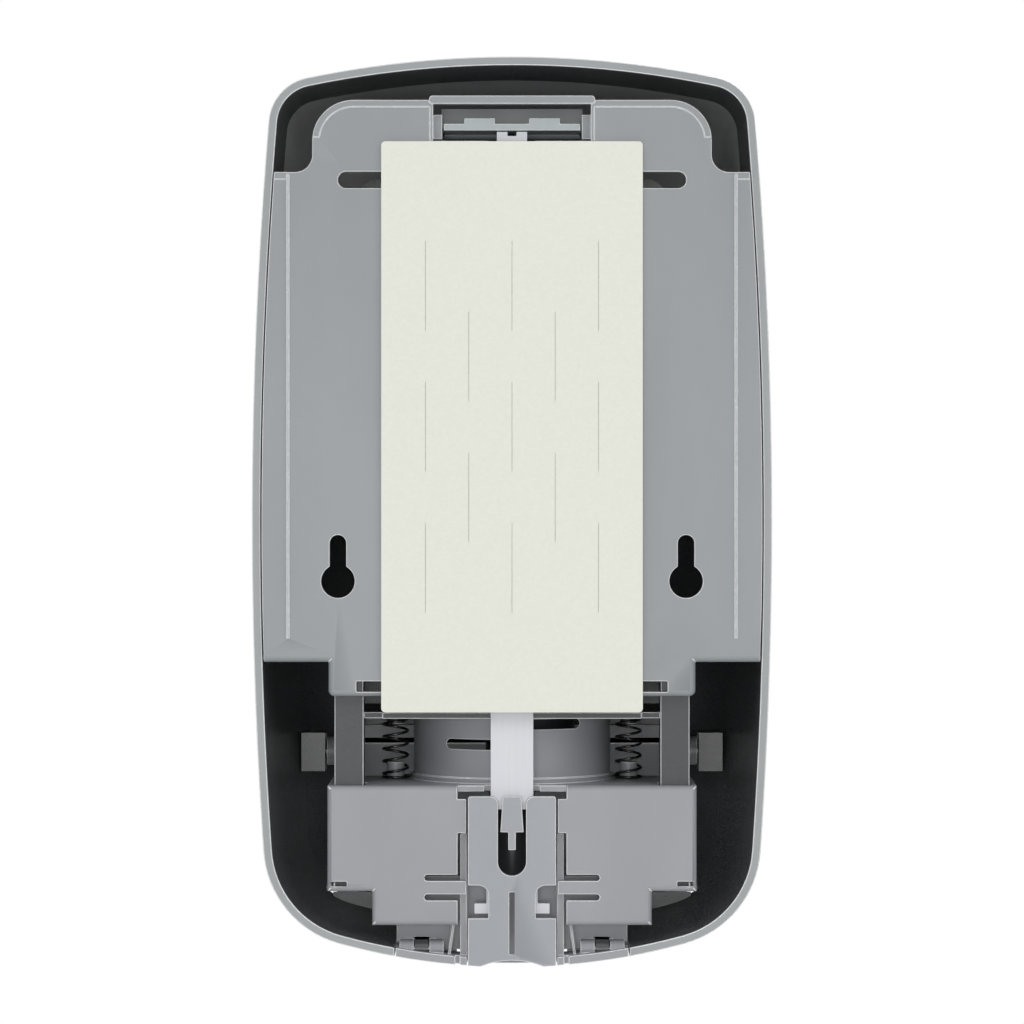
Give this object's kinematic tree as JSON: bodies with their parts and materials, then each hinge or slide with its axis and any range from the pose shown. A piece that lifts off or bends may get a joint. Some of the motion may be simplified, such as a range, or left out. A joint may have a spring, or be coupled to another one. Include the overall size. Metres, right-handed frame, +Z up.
{
  "type": "wall mounted soap dispenser",
  "caption": "Wall mounted push-bar soap dispenser with a hinged domed cover, sliding pump carriage, release button and latch, and an adhesive pad and keyholes on its back.",
  "frame": {"origin": "midpoint between the two keyhole seats, on the rear face of the back plate", "axes": "+Z up, +Y towards the wall, -Y towards the user, +X to the user's right"},
  "size_m": [0.152, 0.108, 0.2659],
  "materials": {
    "housing_abs": "moulded grey ABS, semi-gloss",
    "cover_abs": "moulded grey ABS, satin outside",
    "push_bar_abs": "moulded grey ABS, satin",
    "latch_acetal": "moulded light grey acetal",
    "rod_acetal": "moulded white acetal",
    "foam": "closed-cell foam tape",
    "liner": "off-white release liner",
    "steel": "ground steel",
    "spring_steel": "drawn spring wire",
    "bottle_pe": "translucent polyethylene",
    "pump_pp": "white polypropylene",
    "rubber": "moulded rubber",
    "nozzle_elastomer": "soft moulded elastomer",
    "window_clear": "clear moulded plastic"
  },
  "bodies": {
    "chassis": {"back_plate": "housing_abs", "lower_frame": "housing_abs", "adhesive_pad": "foam", "pad_liner": "liner", "hinge_pins": "steel", "latch_pin": "steel", "latch_spring": "spring_steel", "refill_bottle": "bottle_pe", "refill_cap": "pump_pp", "refill_seal": "rubber", "pump_body": "pump_pp", "inlet_valve": "spring_steel", "return_spring_left": "spring_steel", "return_spring_right": "spring_steel", "pump_spring": "spring_steel"},
    "cover": {"front_cover": "cover_abs", "sight_window": "window_clear", "push_bar_pins": "steel"},
    "push_bar": {"push_bar": "push_bar_abs"},
    "carriage": {"pump_carriage": "housing_abs", "pump_stem": "pump_pp", "piston_seal": "rubber", "nozzle_tip": "nozzle_elastomer"},
    "release": {"release_button": "housing_abs", "release_rod": "rod_acetal", "lock_key": "housing_abs"},
    "latch": {"latch_lever": "latch_acetal"}
  },
  "joints": [
    {"name": "cover_hinge", "type": "hinge", "parent": "chassis", "child": "cover", "pos_m": [0, -0.0064, -0.119], "axis": [1, 0, 0], "range_deg": [0, 90]},
    {"name": "push_bar_pivot", "type": "hinge", "parent": "cover", "child": "push_bar", "pos_m": [0, -0.0824, -0.066], "axis": [1, 0, 0], "range_deg": [0, 12], "stiffness_Nm_per_rad": 1.5, "springref_deg": -2.86},
    {"name": "carriage_slide", "type": "slide", "parent": "chassis", "child": "carriage", "axis": [0, 0, 1], "range_m": [0, 0.0094], "deforming": ["return_spring_left", "return_spring_right", "pump_spring"]},
    {"name": "button_slide", "type": "slide", "parent": "chassis", "child": "release", "axis": [0, 0, 1], "range_m": [0, 0.004], "stiffness_N_per_m": 400, "springref_m": -0.002},
    {"name": "latch_rock", "type": "hinge", "parent": "chassis", "child": "latch", "pos_m": [0, -0.0164, 0.1217], "axis": [1, 0, 0], "range_deg": [0, 20.6]}
  ],
  "couplings": [
    {"joint": "carriage_slide", "follows": "push_bar_pivot", "m_per_rad": 0.0448},
    {"joint": "latch_rock", "follows": "button_slide", "rad_per_m": 89.4}
  ]
}
